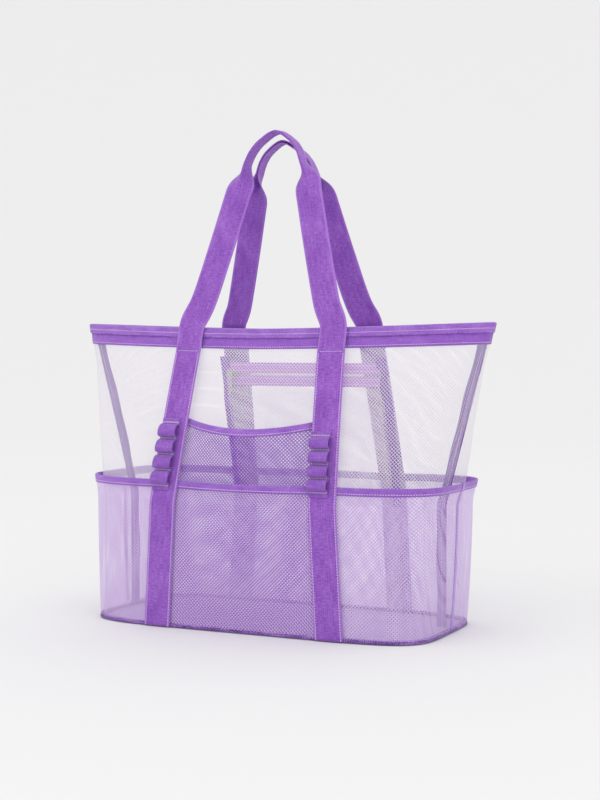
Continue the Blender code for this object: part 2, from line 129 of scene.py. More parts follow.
def table(h):
    """Arc length, x and y along a quarter of the outline, from front centre to the side."""
    key = round(h, 5)
    if key not in TABLES:
        a, b, n = outline(key)
        angle = math.pi / 2 * (0.5 - 0.5 * np.cos(np.linspace(0, math.pi, 900)))
        x = a * np.sin(angle) ** (2 / n)
        y = b * np.abs(np.cos(angle)) ** (2 / n)
        y[-1] = 0.0
        length = np.concatenate([[0.0], np.cumsum(np.hypot(np.diff(x), np.diff(y)))])
        TABLES[key] = (length, x, y)
    return TABLES[key]


def quarter(h):
    """A quarter of the way round at h, in metres."""
    return table(h)[0][-1]


def wall(f, h, off=0.0):
    """Points on the wall for an array of fractions f at one height h."""
    f = np.atleast_1d(np.asarray(f, float))
    a, b, n = outline(h)
    length, xs, ys = table(h)
    back = np.abs(f) > 0.5
    walk = np.where(back, 1 - np.abs(f), np.abs(f)) * 2 * length[-1]
    x, y = np.interp(walk, length, xs), np.interp(walk, length, ys)
    nx, ny = (x / a) ** (n - 1) / a, (y / b) ** (n - 1) / b
    size = np.hypot(nx, ny)
    x, y = x + off * nx / size, y + off * ny / size
    z = h - RIM_SAG * (h / RIM_H) ** 2 * (1 - np.minimum(1, np.abs(x) / a) ** 1.5)
    return np.stack([np.copysign(x, f), np.where(back, y, -y), z], -1)


def point(f, h, off=0.0):
    """One point on the wall."""
    return wall(f, h, off)[0]


def f_at(x, h):
    """The fraction round the front at which the wall is at x."""
    length, xs, _ = table(h)
    return math.copysign(float(np.interp(abs(x), xs, length)) / (2 * length[-1]), x)


def wall_y(x, z):
    """How far back the back wall is, at x and the height z above the floor."""
    h = z
    for _ in range(8):
        h = z + RIM_SAG * (h / RIM_H) ** 2 * (1 - min(1, abs(x) / outline(h)[0]) ** 1.5)
    return point(1 - f_at(x, h), h)[1]


def strap_f(h):
    """The middle of the right front strap."""
    return f_at(STRAP_X_BASE + (STRAP_X_RIM - STRAP_X_BASE) * min(1.0, h / RIM_H), h)


def span_f(h, width):
    """The fraction that half of a width takes up at h."""
    return width / (4 * quarter(h))


def smooth(t):
    """An eased step from 0 to 1."""
    t = np.clip(t, 0.0, 1.0)
    return t * t * (3 - 2 * t)


def swell(f, low, high, power=0.8):
    """0 at the stitch lines at low and high, 1 half way between them."""
    share = np.clip((np.asarray(f, float) - low) / (high - low), 0, 1)
    return np.sin(math.pi * share).clip(0) ** power


def strap_edge(h):
    """Both sides of the right front strap, just clear of it."""
    at, half = strap_f(h), span_f(h, WEB_W + 0.004)
    return at - half, at + half


def rise_to(h):
    """How far the lower pocket band stands out at h, from 0 at the floor to 1 at its top."""
    return math.sin(math.pi / 2 * min(1.0, h / POCKET_H)) ** 0.8


def lower_off(f, h):
    """The lower pocket band: tight at the straps, slack in front and round the sides."""
    near, far = strap_edge(h)
    f = np.asarray(f, float)
    hang = BASE_D / 2 - outline(h)[1]
    middle = (POCKET_BULGE * rise_to(h) + hang) * swell(f, -near, near)
    bulge = np.where(f < 0, SIDE_BULGE_LEFT, SIDE_BULGE_RIGHT)
    sides = bulge * rise_to(h) + hang * np.cos(math.pi * f) ** 2
    return LOWER_OFF + middle + sides * swell(abs(f), far, 1 - far, 0.5)


def upper_off(f, h):
    """The upper pocket: tight at the straps, bagging out towards its mouth."""
    near = strap_edge(h)[0]
    low = 0.0020 * math.sin(math.pi / 2 * min(1.0, h / POCKET_H))
    return UPPER_OFF + (low + (UPPER_BULGE - low) * smooth((h - 0.175) / 0.080)) * swell(
        f, -near, near)


def upper_drop(f, h):
    """How far the upper pocket's mouth sags between the straps."""
    return UPPER_SAG * (1 - (f / strap_f(h)) ** 2) * smooth((h - 0.19) / 0.05)


def outward(f, h):
    """A vector straight out of the wall."""
    return point(f, h, 0.02) - point(f, h)


def ripple(f, h):
    """Soft unevenness of slack netting, always inwards so that it clears what lies outside."""
    wave = np.sin(31 * f + 23 * h) + np.sin(53 * f - 37 * h + 1.3) + np.sin(17 * f + 71 * h + 0.4)
    return -RIPPLE * (1.6 + wave / 2)


# --- materials ------------------------------------------------------------------------------------
def srgb(r, g, b):
    """A display colour, 0 to 255, as the linear colour that shaders take."""
    return tuple(((c / 255 + 0.055) / 1.055) ** 2.4 for c in (r, g, b)) + (1.0,)


def new_material(name, colour, roughness, metallic=0.0, sheen=0.0, specular=0.3):
    mat = bpy.data.materials.new(name)
    mat.use_nodes = True
    shader = mat.node_tree.nodes["Principled BSDF"]
    shader.inputs["Base Color"].default_value = colour
    shader.inputs["Roughness"].default_value = roughness
    shader.inputs["Metallic"].default_value = metallic
    shader.inputs["Specular IOR Level"].default_value = specular
    shader.inputs["Sheen Weight"].default_value = sheen
    shader.inputs["Sheen Roughness"].default_value = 0.4
    return mat


def node(mat, kind, **values):
    made = mat.node_tree.nodes.new(kind)
    for key, value in values.items():
        setattr(made, key, value)
    return made


def link(mat, out, into):
    mat.node_tree.links.new(out, into)


def math_node(mat, kind, one, two):
    made = node(mat, "ShaderNodeMath", operation=kind)
    for socket, value in zip(made.inputs, (one, two)):
        if isinstance(value, (int, float)):
            socket.default_value = value
        else:
            link(mat, value, socket)
    return made.outputs[0]


def streaks(mat, uv, across, along):
    """Noise drawn out across or along the tape."""
    stretch = node(mat, "ShaderNodeMapping")
    stretch.inputs["Scale"].default_value = (across, along, 1)
    link(mat, uv.outputs[0], stretch.inputs["Vector"])
    noise = node(mat, "ShaderNodeTexNoise")
    noise.inputs["Scale"].default_value = 1.0
    noise.inputs["Detail"].default_value = 2.0
    link(mat, stretch.outputs[0], noise.inputs["Vector"])
    return noise.outputs[0]


def woven(name, colour, dark, light, across=0.0011, along=0.0009, depth=0.00022, sheen=0.35,
          half=None, contrast=1.0):
    """Woven tape: ribs across and picks along, read from the piece's own lengthwise map.

    half is half the tape's width; towards both edges the colour is painted lighter, a painted
    highlight along the rounded selvedges.
    """
    mat = new_material(name, colour, 0.72, sheen=sheen)
    shader = mat.node_tree.nodes["Principled BSDF"]
    uv = node(mat, "ShaderNodeUVMap", uv_map="weave")
    split = node(mat, "ShaderNodeSeparateXYZ")
    link(mat, uv.outputs[0], split.inputs[0])
    u = math_node(mat, "MULTIPLY", split.outputs[0], 2 * math.pi / across)
    v = math_node(mat, "MULTIPLY", split.outputs[1], 2 * math.pi / along)
    rib = math_node(mat, "SINE", u, 0)
    pick = math_node(mat, "SINE", math_node(mat, "ADD", v, math_node(mat, "MULTIPLY", u, 0.5)), 0)
    height = math_node(mat, "ADD", math_node(mat, "MULTIPLY", rib, 0.6), math_node(
        mat, "MULTIPLY", math_node(mat, "MULTIPLY", rib, pick), 0.7))
    picks = streaks(mat, uv, 170, 700)
    warps = streaks(mat, uv, 900, 45)
    cloud = streaks(mat, uv, 40, 30)
    uneven = math_node(mat, "ADD", math_node(mat, "MULTIPLY", picks, 0.42), math_node(
        mat, "ADD", math_node(mat, "MULTIPLY", warps, 0.33), math_node(
            mat, "MULTIPLY", cloud, 0.25)))
    # painted light and shade of the weave: its raised ribs come out a little lighter and its
    # hollows a little darker, added to random tone from the streaks
    mix = math_node(mat, "ADD", math_node(mat, "MULTIPLY", height, 0.10), math_node(
        mat, "ADD", math_node(mat, "MULTIPLY", math_node(
            mat, "SUBTRACT", uneven, 0.5), 1.9 * contrast), 0.5))
    ramp = node(mat, "ShaderNodeValToRGB")
    ramp.color_ramp.elements[0].position = 0.12
    ramp.color_ramp.elements[0].color = dark
    ramp.color_ramp.elements[1].position = 0.90
    ramp.color_ramp.elements[1].color = light
    middle = ramp.color_ramp.elements.new(0.50)
    middle.color = colour
    link(mat, mix, ramp.inputs[0])
    out = ramp.outputs[0]
    # painted highlight: the colour turns lighter along both edges of the tape, where its rounded
    # selvedges catch the light
    if half:
        edge = node(mat, "ShaderNodeMapRange")
        edge.inputs["From Min"].default_value = half - 0.0030
        edge.inputs["From Max"].default_value = half - 0.0012
        edge.inputs["To Max"].default_value = 0.55
        link(mat, math_node(mat, "ABSOLUTE", split.outputs[0], 0), edge.inputs["Value"])
        edge_highlight = node(mat, "ShaderNodeMix", data_type="RGBA")
        link(mat, edge.outputs[0], edge_highlight.inputs["Factor"])
        link(mat, out, edge_highlight.inputs["A"])
        edge_highlight.inputs["B"].default_value = light
        out = edge_highlight.outputs["Result"]
    link(mat, out, shader.inputs["Base Color"])
    bump = node(mat, "ShaderNodeBump")
    bump.inputs["Strength"].default_value = 0.7
    bump.inputs["Distance"].default_value = depth
    link(mat, math_node(mat, "ADD", height, math_node(mat, "MULTIPLY", uneven, 2.0)),
         bump.inputs["Height"])
    link(mat, bump.outputs[0], shader.inputs["Normal"])
    return mat


def speckled(name, colour, other, roughness, scale=500.0, metallic=0.0, sheen=0.0, specular=0.3):
    """A fine uneven finish: moulded plastic, thread, cast metal or netting yarn."""
    mat = new_material(name, colour, roughness, metallic, sheen, specular)
    shader = mat.node_tree.nodes["Principled BSDF"]
    coordinates = node(mat, "ShaderNodeTexCoord")
    noise = node(mat, "ShaderNodeTexNoise")
    noise.inputs["Scale"].default_value = scale
    noise.inputs["Detail"].default_value = 2.0
    link(mat, coordinates.outputs["Object"], noise.inputs["Vector"])
    ramp = node(mat, "ShaderNodeValToRGB")
    ramp.color_ramp.elements[0].position = 0.3
    ramp.color_ramp.elements[0].color = other
    ramp.color_ramp.elements[1].position = 0.7
    ramp.color_ramp.elements[1].color = colour
    link(mat, noise.outputs[0], ramp.inputs[0])
    link(mat, ramp.outputs[0], shader.inputs["Base Color"])
    bump = node(mat, "ShaderNodeBump")
    bump.inputs["Strength"].default_value = 0.25
    bump.inputs["Distance"].default_value = 0.0001
    link(mat, noise.outputs[0], bump.inputs["Height"])
    link(mat, bump.outputs[0], shader.inputs["Normal"])
    return mat


WEBBING = woven("webbing", srgb(152, 90, 198), srgb(116, 58, 166), srgb(188, 136, 228),
                half=WEB_W / 2)
HEM = woven("pocket_hem", srgb(190, 152, 226), srgb(166, 124, 208), srgb(212, 180, 238))
TAPE = woven("narrow_tape", srgb(150, 92, 198), srgb(108, 54, 160), srgb(182, 132, 222))
BAND = woven("rim_webbing", srgb(154, 96, 204), srgb(122, 66, 176), srgb(186, 134, 226),
             contrast=0.7)
BINDING = woven("binding", srgb(156, 102, 204), srgb(120, 68, 172), srgb(192, 146, 228),
                across=0.0008, along=0.0007, depth=0.00014)
SEAM_TAPE = woven("seam_tape", srgb(122, 68, 172), srgb(98, 46, 148), srgb(154, 104, 198),
                  across=0.0008, along=0.0007, depth=0.00014)
EDGE_TAPE = woven("edge_binding", srgb(122, 76, 168), srgb(74, 40, 116), srgb(184, 146, 216),
                  across=0.0016, along=0.0016, depth=0.0003, contrast=2.0)
ZIP_TAPE_MAT = woven("zip_tape", srgb(212, 160, 234), srgb(198, 142, 226), srgb(226, 184, 242),
                     across=0.0007, along=0.0007, depth=0.00010, sheen=0.2)
PANEL_NET = speckled("panel_netting", srgb(253, 248, 254), srgb(246, 238, 250), 0.55, sheen=0.1)
POCKET_NET = speckled("pocket_netting", srgb(224, 194, 246), srgb(208, 174, 236), 0.55, sheen=0.1)
# upper pocket yarn: lilac of its own, painted darker as shade of the dim inside of the bag seen
# through its holes
SHADED_INNER_NET = speckled("inner_netting_painted_shade", srgb(152, 92, 200), srgb(130, 70, 184), 0.55, sheen=0.1)
BASE_NET = speckled("base_netting", srgb(196, 162, 228), srgb(172, 134, 210), 0.6)
THREAD = speckled("thread", srgb(246, 226, 250), srgb(230, 202, 240), 0.5, sheen=0.2)
COIL = speckled("zip_coil", srgb(222, 190, 236), srgb(196, 158, 218), 0.35, specular=0.5)
METAL = speckled("zip_metal", srgb(206, 204, 208), srgb(160, 158, 166), 0.28, 300.0, 0.9, 0.0, 0.5)


# --- mesh making ----------------------------------------------------------------------------------
def finish_piece(name, points, faces, mat, uvs=None, slot=None, replaces=(), body="bag"):
    """Makes the object and says what it rides on and the CAD nodes it replaces; slot is not used.
    """
    mesh = bpy.data.meshes.new(name)
    mesh.from_pydata([tuple(p) for p in points], [], faces)
    mesh.materials.append(mat)
    layer = mesh.uv_layers.new(name="weave")
    if uvs is not None:
        layer.data.foreach_set("uv", np.asarray(uvs, np.float32).ravel())
    mesh.polygons.foreach_set("use_smooth", [True] * len(mesh.polygons))
    mesh.validate()
    obj = bpy.data.objects.new(name, mesh)
    bpy.context.scene.collection.objects.link(obj)
    if body:
        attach(obj, body)
    if replaces:
        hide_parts(*replaces)
    return obj


def skin(name, grid, mat, ring=False, across=None, **more):
    """Skins stations of points, each closed on itself; ring joins the last station to the first.

    across gives each point's place over the tape's width, for the weave.
    """
    grid = np.asarray(grid, float)
    count, width = grid.shape[:2]
    around = np.linalg.norm(np.diff(grid, axis=1, append=grid[:, :1]), axis=2).mean(axis=0)
    u = np.concatenate([[0.0], np.cumsum(around)])
    if across is not None:
        u = np.append(across, across[0])
    along = np.linalg.norm(np.diff(grid, axis=0, append=grid[:1]), axis=2).mean(axis=1)
    v = np.concatenate([[0.0], np.cumsum(along)])
    faces, uvs = [], []
    for i in range(count if ring else count - 1):
        j = (i + 1) % count
        for k in range(width):
            m = (k + 1) % width
            faces.append((i * width + k, i * width + m, j * width + m, j * width + k))
            uvs += [(u[k], v[i]), (u[k + 1], v[i]), (u[k + 1], v[i + 1]), (u[k], v[i + 1])]
    if not ring:
        for i, row in ((0, 0), (count - 1, 1)):
            for k in range(width // 2 - 1):
                quad = [i * width + k, i * width + width - 1 - k, i * width + width - 2 - k,
                        i * width + k + 1]
                faces.append(tuple(quad if row == 0 else quad[::-1]))
                uvs += [(u[k], v[i])] * 4
    return finish_piece(name, grid.reshape(-1, 3), faces, mat, uvs, **more)


def thick(path, thickness):
    """A closed outline of even thickness round an open path of 2D points, with soft ends."""
    path = np.asarray(path, float)
    along = np.gradient(path, axis=0)
    along /= np.linalg.norm(along, axis=1)[:, None]
    normal = np.stack([-along[:, 1], along[:, 0]], -1) * thickness / 2
    ends = along * thickness * 0.3
    one, two = path + normal, path - normal
    first = path[0] - ends[0]
    last = path[-1] + ends[-1]
    return np.concatenate([[first], one, [last], two[::-1]])


def strip(width, thickness, count):
    """Cross-section of webbing: (across, out of plane) pairs, with thicker rounded selvedges."""
    across = np.linspace(-width / 2, width / 2, count)
    edge = 1 + 0.18 * np.exp(-((np.abs(across) - width / 2 + 0.0012) / 0.0012) ** 2)
    top = np.stack([across, edge * thickness / 2], -1)
    return np.concatenate([top, [[width / 2 + 0.0004, 0]], -top, [[-width / 2 - 0.0004, 0]]])


class Stitches:
    """Collects small raised stitches and turns them into one piece."""

    def __init__(self):
        self.points, self.faces = [], []

    def run(self, line, normals, pitch=STITCH_PITCH, length=STITCH_LENGTH, width=STITCH_WIDTH,
            height=STITCH_HEIGHT):
        """Adds a row along the line, raised along the normals."""
        line, normals = np.asarray(line, float), np.asarray(normals, float)
        gone = np.concatenate([[0.0], np.cumsum(np.linalg.norm(np.diff(line, axis=0), axis=1))])
        count = int(gone[-1] / pitch)
        for k in range(count):
            start = (k + 0.5) * gone[-1] / count - length / 2
            spots = [np.array([np.interp(start + t * length, gone, line[:, a]) for a in range(3)])
                     for t in (0.0, 0.25, 0.75, 1.0)]
            up = np.array([np.interp(start + length / 2, gone, normals[:, a]) for a in range(3)])
            up /= np.linalg.norm(up)
            out = np.cross(spots[3] - spots[0], up)
            out *= width / 2 / (np.linalg.norm(out) + 1e-12)
            base = len(self.points)
            self.points += [spots[0] - up * 0.0001, spots[3] - up * 0.0001]
            for spot in spots[1:3]:
                self.points += [spot - out, spot + up * height, spot + out]
            a, b, la, ta, ra, lb, tb, rb = range(base, base + 8)
            self.faces += [(a, la, ta), (a, ta, ra), (a, ra, la), (b, tb, lb), (b, rb, tb),
                           (b, lb, rb), (la, lb, tb, ta), (ta, tb, rb, ra), (ra, rb, lb, la)]

    def make(self, name, slot):
        finish_piece(name, self.points, self.faces, THREAD, slot=slot)


def stitch_level(group, f_list, h, off, **style):
    """A row of stitches round the wall at one height."""
    group.run([point(f, h, off) for f in f_list], [outward(f, h) for f in f_list], **style)


def netting(name, v_low, v_high, u_reach, place, inside, mat, yarn, slot):
    """Diagonal netting with open holes: a small diamond knot at each crossing, joined by yarns.

    place maps an array of u, in metres, at one v to points, the given distance out of the netting,
    and inside says which crossings exist.
    """
    w, p = yarn, HOLE_PITCH
    rows = int((v_high - v_low) / p)
    columns = int(u_reach / p / 2) + 2
    index = -np.ones((rows + 1, 2 * columns + 3), int)
    points, faces = [], []
    total = 0
    for r in range(rows):
        v = v_low + r * p
        c = np.arange(-columns, columns + 1)
        u = (c + (0.5 if r % 2 else 0.0)) * 2 * p
        keep = inside(u, v)
        c, u = c[keep], u[keep]
        if not len(u):
            continue
        knot = np.stack([place(u + w, v, YARN_RELIEF), place(u, v + w, -YARN_RELIEF),
                         place(u - w, v, YARN_RELIEF), place(u, v - w, -YARN_RELIEF)], 1)
        points.append(knot.reshape(-1, 3))
        index[r, c + columns] = total + np.arange(len(c))
        total += len(c)
    for r in range(rows):
        here = index[r]
        faces.append(here[here >= 0][:, None] * 4 + np.arange(4)[None])
        right = np.roll(index[r + 1], -1) if r % 2 else index[r + 1]
        left = index[r + 1] if r % 2 else np.roll(index[r + 1], 1)
        both = (here >= 0) & (right >= 0)
        a, b = here[both] * 4, right[both] * 4
        faces.append(np.stack([a, b + 3, b + 2, a + 1], -1))
        both = (here >= 0) & (left >= 0)
        a, b = here[both] * 4, left[both] * 4
        faces.append(np.stack([a + 1, b, b + 3, a + 2], -1))
    points, faces = np.concatenate(points), np.concatenate(faces)
    mesh = bpy.data.meshes.new(name)
    mesh.vertices.add(len(points))
    mesh.vertices.foreach_set("co", points.astype(np.float32).ravel())
    mesh.loops.add(4 * len(faces))
    mesh.loops.foreach_set("vertex_index", faces.astype(np.int32).ravel())
    mesh.polygons.add(len(faces))
    mesh.polygons.foreach_set("loop_start", np.arange(0, 4 * len(faces), 4, dtype=np.int32))
    mesh.update(calc_edges=True)
    mesh.materials.append(mat)
    mesh.validate()
    obj = bpy.data.objects.new(name, mesh)
    bpy.context.scene.collection.objects.link(obj)
    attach(obj, "bag")
    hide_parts(slot)


def wall_net(name, low, high, off, limits, mat, yarn, slot, back=False):
    """Netting laid on the wall: off(f, h) places it, limits(h) gives its ends in f and its top."""

    def place(u, v, out=0.0):
        f = u / (2 * quarter(v))
        spots = wall(np.clip(f, -1, 1), v, off(f, v) + out)
        return spots * (1, -1, 1) if back else spots

    def inside(u, v):
        f = u / (2 * quarter(v))
        start, end, top = limits(v)
        return (f > start) & (f < end) & (v < top(f))

    middle = (low + high) / 2
    start, end, _ = limits(middle)
    flat = ((end - start) * 2 * quarter(middle), high - low)
    netting(name, low, high, HALF_ROUND, place, inside, mat, yarn, slot)


# --- walls, floor and side seams ------------------------------------------------------------------
def panel_limits(h):
    """A wall panel reaches nearly to both side seams, and all the way up."""
    edge = 0.5 - span_f(h, 0.0016)
    return -edge, edge, lambda f: 1.0


def panel_off(f, h):
    """Slack netting dips in a little between the straps and the seams."""
    slack = smooth((h - 0.02) / 0.1) * smooth((BAND_LOW - h) / 0.03)
    return ripple(f, h) * slack


for end, yarn in (("front", FRONT_YARN), ("back", BACK_YARN)):
    wall_net(end + "_netting", NET_LOW, BAND_TOP - 0.002, panel_off, panel_limits, PANEL_NET,
             yarn, end + "_panel", back=end == "back")

floor_a, floor_b = BASE_W / 2 - 0.0022, BASE_D / 2 - 0.0022


def floor_place(u, v, out):
    """The floor netting lies flat, just off the ground."""
    return np.stack([u, np.full_like(u, v), np.full_like(u, 0.0009) + out], -1)


def floor_inside(u, v):
    """The floor's outline is the wall's at the ground, drawn in to clear the wall."""
    return (np.abs(u) / floor_a) ** BASE_N + (abs(v) / floor_b) ** BASE_N < 1


netting("floor_netting", -floor_b, floor_b, 2 * floor_a, floor_place, floor_inside, BASE_NET,
        POCKET_YARN, "bottom_panel")

round_fine = np.linspace(-1, 1, 420, endpoint=False)


def ring_piece(name, outline_2d, mat, shift=None, slot=None):
    """A closed band round the whole bag: outline_2d holds (off, h) pairs."""
    grid = np.zeros((len(round_fine), len(outline_2d), 3))
    for k, (off, h) in enumerate(outline_2d):
        extra = shift(round_fine, h) if shift else 0.0
        grid[:, k] = wall(round_fine, h, off + extra)
    return skin(name, grid, mat, ring=True, slot=slot, replaces=(slot,))


seam_out = LOWER_OFF + MESH_T / 2 + GAP + 0.0004
edge_loop = [(seam_out, 0.0010), (seam_out + 0.0002, 0.0028), (seam_out - 0.0004, 0.0048),
             (seam_out - 0.0016, 0.0056), (0.0010, 0.0057), (-0.0014, 0.0050), (-0.0020, 0.0030),
             (-0.0016, 0.0012), (0.0010, 0.0006), (seam_out - 0.0014, 0.0006)]
ring_piece("bottom_edge_binding", edge_loop[::-1], EDGE_TAPE, slot="bottom_seam_binding",
           shift=lambda f, h: 0.0003 * np.sin(f * 190) * (h > 0.002))


def seam_lean(h, sign):
    """The side seam tape wanders a little as it goes up."""
    return 0.0016 * math.sin(h * 34 + sign)


seam_stitches = Stitches()
for label, sign in (("left", -1), ("right", 1)):
    heights = np.linspace(WALL_LOW, BAND_LOW + 0.004, 90)
    grid = []
    for h in heights:
        a = outline(h)[0]
        lean = seam_lean(h, sign)
        deep = SEAM_TAPE_DEPTH + 0.0006 * math.sin(h * 90)
        section = thick([(0.0016, -0.0011), (0.0050, -0.0010), (deep, -0.0008),
                         (deep + 0.0006, 0.0), (deep, 0.0008), (0.0050, 0.0010),
                         (0.0016, 0.0011)], 0.0006)
        grid.append([(sign * (a - s), y + lean * min(1.0, s / 0.009), h) for s, y in section])
    skin("side_seam_tape_" + label, grid, SEAM_TAPE, slot="side_seam_tape_" + label,
         replaces=("side_seam_tape_" + label,))
    for face in (-1, 1):
        line = [(sign * (outline(h)[0] - 0.0062), face * 0.00135 + seam_lean(h, sign) * 0.7, h)
                for h in heights]
        seam_stitches.run(line, [(0, face, 0)] * len(line))
seam_stitches.make("side_seam_stitches", slot="side_seam_tape_left")


# --- rim ------------------------------------------------------------------------------------------
def pucker(f, h):
    """The band gathers slightly along its middle, where the fold's edge bites."""
    depth = 0.00055 * np.exp(-((h - (RIM_H - 0.0135)) / 0.003) ** 2)
    return depth * (np.sin(f * 260) + 0.6 * np.sin(f * 151 + 1)) - depth * 0.8


band_in, band_out = MESH_T / 2 + 0.0006, MESH_T / 2 + 0.0018
band_path = [((band_in + band_out) / 2, h) for h in np.linspace(BAND_LOW, BAND_TOP, 14)]
ring_piece("rim_webbing", thick(band_path, 0.0012)[::-1], BAND, pucker, "rim_band")
fold_low = RIM_H - FOLD_DEPTH
fold_out, fold_in = band_out + 0.0011, -MESH_T / 2 - 0.0011
fold_r = (fold_out - fold_in) / 2
fold_mid = (fold_out + fold_in) / 2
fold_path = [(fold_out, h) for h in np.linspace(fold_low, RIM_H - fold_r, 7)]
fold_path += [(fold_mid + fold_r * math.cos(a), RIM_H - fold_r * 1.05 + fold_r * 0.9 * math.sin(a))
              for a in np.linspace(0.25, math.pi - 0.25, 7)]
fold_path += [(fold_in, h) for h in np.linspace(RIM_H - fold_r, fold_low, 7)]
ring_piece("rim_fold", thick(fold_path, 0.0008), BINDING,
           lambda f, h: 0.00018 * np.sin(f * 330) * (h < fold_low + 0.004), "rim_binding")

rim_stitches = Stitches()
round_closed = np.linspace(-1, 1, 500)
for h, off in ((RIM_H - FOLD_STITCH, fold_out + 0.0004), (BAND_LOW + 0.0022, band_out)):
    stitch_level(rim_stitches, round_closed, h, off)
stitch_level(rim_stitches, round_closed, RIM_H - FOLD_STITCH, fold_in - 0.0004,
             height=-STITCH_HEIGHT)
rim_stitches.make("rim_stitches", slot="rim_binding")


# --- pockets --------------------------------------------------------------------------------------
pocket_stitches = Stitches()


def pocket(name, end, top, off, mat, yarn, drop=None, back=False):
    """A netting pocket, reaching to end(h) on both sides, with a stitched binding along its top."""

    def fall(f):
        return drop(f, top) if drop else 0.0 * f

    wall_net(name + "_netting", NET_LOW, top, off,
             lambda h: (-end(h), end(h), lambda f: top - fall(f) - 0.0015), mat, yarn, name, back)

    def place(f, h, extra):
        spot = point(f, h - float(fall(f)), float(off(f, h)) + extra)
        return spot * (1, -1, 1) if back else spot

    r, low_h, high_h = BIND_R - 0.0003, top + BIND_R - BIND_H, top + BIND_R
    path = [(r, h) for h in np.linspace(low_h, high_h - r, 6)]
    path += [(r * math.cos(a), high_h - r + r * math.sin(a)) for a in np.linspace(0.4, 2.74, 5)]
    path += [(-r, h) for h in np.linspace(high_h - r, low_h, 6)]
    f_list = np.linspace(-end(top), end(top), 160)
    grid = [[place(f, h, e) for e, h in thick(path, 0.0006)] for f in f_list]
    skin(name + "_binding_fold", grid, BINDING, slot=name + "_binding",
         replaces=(name + "_binding",))
    line_h = low_h + 0.0024
    line = [place(f, line_h, r + 0.0003) for f in f_list]
    away = [place(f, line_h, 0.01) - place(f, line_h, 0.0) for f in f_list]
    pocket_stitches.run(line, away)


def seam_end(h):
    """The lower pocket band ends just short of the side seam."""
    return 0.5 - span_f(h, 0.0008)


pocket("front_pocket", seam_end, POCKET_H, lower_off, POCKET_NET, POCKET_YARN)
pocket("back_pocket", seam_end, POCKET_H, lower_off, POCKET_NET, POCKET_YARN, back=True)
pocket("upper_pocket", strap_f, UPPER_H, upper_off, SHADED_INNER_NET, INNER_YARN, drop=upper_drop)
for label, sign in (("left", -1), ("right", 1)):
    hem = strip(0.0064, 0.0009, 7)
    grid = []
    for h in np.linspace(WALL_LOW, POCKET_H + BIND_R, 60):
        x = outline(h)[0] + float(lower_off(sign * 0.5, h)) + BIND_R * float(
            smooth((h - POCKET_H + 0.011) / 0.003)) + 0.0007
        grid.append([(sign * (x + n), s, h) for s, n in hem])
    skin("pocket_side_hem_" + label, grid, HEM, slot="front_pocket")
pocket_stitches.make("pocket_stitches", slot="front_pocket_binding")


# --- straps that run up into the handles ----------------------------------------------------------
HINGE = point(strap_f(BAND_LOW), BAND_LOW, STRAP_OFF)
RIM_EDGE = point(strap_f(RIM_H), RIM_H + 0.004, STRAP_OFF + 0.0012)
LEAN = [(0.12, 0.0865), (0.38, 0.0690), (0.62, 0.0540), (0.75, 0.0460), (0.83, 0.0400),
        (0.90, 0.0325), (0.955, 0.0205)]      # half the handle's spread at shares of its rise
PROFILE = strip(WEB_W, WEB_T, 29)


def catmull(marks, per):
    """A smooth curve through the marks, with per points from each mark to the next."""
    marks = [2 * marks[0] - marks[1]] + marks + [2 * marks[-1] - marks[-2]]
    out = []
    for i in range(1, len(marks) - 2):
        p0, p1, p2, p3 = marks[i - 1:i + 3]
        for k in range(per):
            t = k / per
            out.append(0.5 * (2 * p1 + (p2 - p0) * t + (2 * p0 - 5 * p1 + 4 * p2 - p3) * t * t
                              + (3 * p1 - p0 - 3 * p2 + p3) * t ** 3))
    return out + [marks[-2]]


def bent_section(fold):
    """Webbing section folded lengthwise: fold 0 is flat, 1 is doubled with its edges together."""
    turn = fold * math.radians(88)
    s = np.linspace(-WEB_W / 2 - 0.001, WEB_W / 2 + 0.001, 161)
    angle = turn * np.tanh(s / 0.0011)
    step = s[1] - s[0]
    x = np.cumsum(np.cos(angle)) * step
    y = np.cumsum(np.sin(angle)) * step
    x -= np.interp(0, s, x)
    y -= np.interp(0, s, y)
    across, out = PROFILE[:, 0], PROFILE[:, 1]
    a = np.interp(across, s, angle)
    return np.stack([np.interp(across, s, x) - out * np.sin(a),
                     np.interp(across, s, y) + out * np.cos(a)], -1)


def handle_stations(drop):
    """Half of the handle, from the hinge to the middle of the grip, then its mirror image."""
    top = GRIP_TOP - drop
    rise = top - RIM_EDGE[2]
    top_y = -(GRIP_W / 2 + 0.0015)
    marks = [HINGE, RIM_EDGE] + [
        np.array((x, RIM_EDGE[1] + (top_y - RIM_EDGE[1]) * t, RIM_EDGE[2] + rise * t))
        for t, x in LEAN]
    marks += [np.array((0, top_y, top)), np.array((-0.022, top_y, top - 0.035 * rise))]
    half = [p for p in catmull(marks, 12) if p[0] >= -1e-6]
    half[-1][0] = 0.0
    line = np.array(half + [p * (-1, 1, 1) for p in half[-2::-1]])
    along = np.gradient(line, axis=0)
    along /= np.linalg.norm(along, axis=1)[:, None]
    out = []
    for p, t in zip(line, along):
        share = (p[2] - RIM_EDGE[2]) / rise
        fold = float(smooth((share - FOLD_FROM) / FOLD_OVER))
        across = np.cross((0, -1, 0), t)
        across /= np.linalg.norm(across)
        back = np.cross(t, across)
        back *= np.sign(back[1])
        section = bent_section(fold)
        centre = p - back * GRIP_W / 2 * fold
        cup = 0.0016 * (1 - fold) * float(smooth(share / 0.2))
        out.append([centre + across * x + back * (y + cup * (x / 0.018) ** 2) for x, y in section])
    return np.array(out)


def strap_stations(sign, heights):
    """Sections of one strap, flat on the wall and the pocket band."""
    return np.array([[point(sign * strap_f(h) + span_f(h, 2 * s), h, STRAP_OFF + n)
                      for s, n in PROFILE] for h in heights])


def match(one, two):
    """The second station's points in the order that best follows the first."""
    half = len(two) // 2
    ways = [two, np.roll(two, half, axis=0), np.roll(two[::-1], half - 1, axis=0),
            np.roll(two[::-1], -1, axis=0)]
    return min(ways, key=lambda w: float(np.abs(w - one).sum()))


strap_stitches = {"front": Stitches(), "back": Stitches()}


